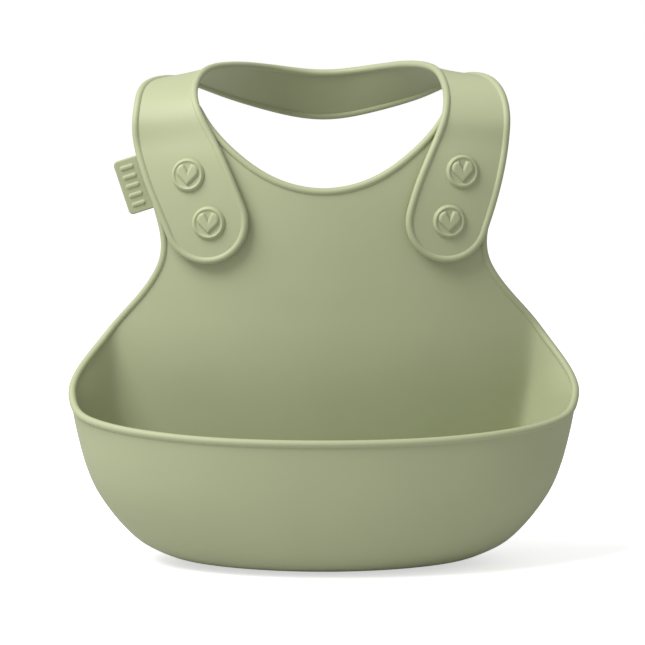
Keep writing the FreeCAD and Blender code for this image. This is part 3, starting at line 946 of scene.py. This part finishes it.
def make_floor():
    """Pale floor, fading into the backdrop."""
    mesh = bpy.data.meshes.new("floor")
    corners = [(x * FLOOR_REACH, y * FLOOR_REACH, 0) for x, y in ((-1, -1), (1, -1), (1, 1), (-1, 1))]
    mesh.from_pydata(corners, [], [(0, 1, 2, 3)])
    floor = bpy.data.objects.new("floor", mesh)
    bpy.context.scene.collection.objects.link(floor)
    floor.location.z = -FLOOR_DROP
    material = bpy.data.materials.new("pale_floor")
    material.use_nodes = True
    nodes, links = material.node_tree.nodes, material.node_tree.links
    shader = nodes["Principled BSDF"]
    seen = nodes.new("ShaderNodeLightPath")
    level = nodes.new("ShaderNodeMix")
    level.data_type = "RGBA"
    level.inputs["A"].default_value = grey(FLOOR_BOUNCE)
    level.inputs["B"].default_value = grey(FLOOR_SEEN)
    links.new(seen.outputs["Is Camera Ray"], level.inputs["Factor"])
    links.new(level.outputs["Result"], shader.inputs["Base Color"])
    links.new(seen.outputs["Is Camera Ray"], shader.inputs["Emission Strength"])
    shader.inputs["Emission Color"].default_value = grey(FLOOR_GLOW)
    shader.inputs["Roughness"].default_value = 0.9
    mesh.materials.append(material)


def make_world():
    """White backdrop that lights the bib softly from all round."""
    world = bpy.data.worlds.new("studio")
    world.use_nodes = True
    nodes, links = world.node_tree.nodes, world.node_tree.links
    back = nodes["Background"]
    back.inputs["Color"].default_value = grey(1)
    seen = nodes.new("ShaderNodeLightPath")
    level = nodes.new("ShaderNodeMapRange")
    level.inputs["To Min"].default_value = ROOM_LIGHT
    level.inputs["To Max"].default_value = 1.0
    links.new(seen.outputs["Is Camera Ray"], level.inputs["Value"])
    links.new(level.outputs["Result"], back.inputs["Strength"])
    bpy.context.scene.world = world


def make_key_light():
    lamp = bpy.data.lights.new("key", "AREA")
    lamp.shape = "RECTANGLE"
    lamp.size = KEY_SIZE
    lamp.size_y = KEY_SIZE
    lamp.energy = KEY_POWER
    light = bpy.data.objects.new("key", lamp)
    bpy.context.scene.collection.objects.link(light)
    light.location = KEY_PLACE
    light.rotation_euler = (Vector(KEY_AIM) - Vector(KEY_PLACE)).to_track_quat("-Z", "Y").to_euler()


def make_camera():
    rise = math.radians(CAMERA_RISE)
    aim = Vector(CAMERA_AIM)
    camera = bpy.data.cameras.new("camera")
    camera.sensor_width = SENSOR
    camera.lens = SENSOR * CAMERA_DISTANCE / FRAME_WIDTH
    camera.clip_start = 0.05
    eye = bpy.data.objects.new("camera", camera)
    bpy.context.scene.collection.objects.link(eye)
    eye.location = aim + CAMERA_DISTANCE * Vector((0, -math.cos(rise), math.sin(rise)))
    eye.rotation_euler = (aim - eye.location).to_track_quat("-Z", "Y").to_euler()
    bpy.context.scene.camera = eye


# ---- assembly -----------------------------------------------------------------------------------
body_look = silicone("sage_silicone_body", srgb(174, 180, 143), roughness=0.52, seed=0.0)
# the band's silicone is set a shade darker than the body's: painted shade, so the straps read less lit
band_shaded_look = silicone("sage_silicone_band_painted_shade", srgb(173, 179, 142), roughness=0.50, seed=3.1)
snap_look = silicone("sage_silicone_snap", srgb(173, 179, 142), roughness=0.50, seed=5.7)
tag_look = silicone("sage_silicone_tag", srgb(172, 178, 140), roughness=0.55, seed=8.2)

make_camera()
make_floor()
make_world()
make_key_light()
bpy.context.scene.view_settings.view_transform = "Standard"
bpy.context.scene.view_settings.look = "None"

shell = bib_body(body_look)
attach(shell, "bib")
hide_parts("bib_body")

tag = side_tag(tag_look)
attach(tag, "bib")
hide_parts("side_tag")

for side_name, stations, side in (("right", RIGHT_STATIONS, 1.0), ("left", LEFT_STATIONS, -1.0)):
    half = band_half(side_name + "_band_half", stations, side, band_shaded_look)
    inner_at, outer_at = band_edges(stations, side)
    beside = (HINGE_STATION - HINGE_STEP, HINGE_STATION + HINGE_STEP)
    before, after = [(inner_at(s)[0] + outer_at(s)[0]) / 2 for s in beside]
    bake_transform(half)
    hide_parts(side_name + "_strap", "neckband")

for snap_name, (snap_x, snap_z) in SNAPS.items():
    button = snap_button(snap_name + "_cap", snap_x, snap_z, snap_look)
    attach(button, snap_name.split("_")[0] + "_strap")
    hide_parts(snap_name)
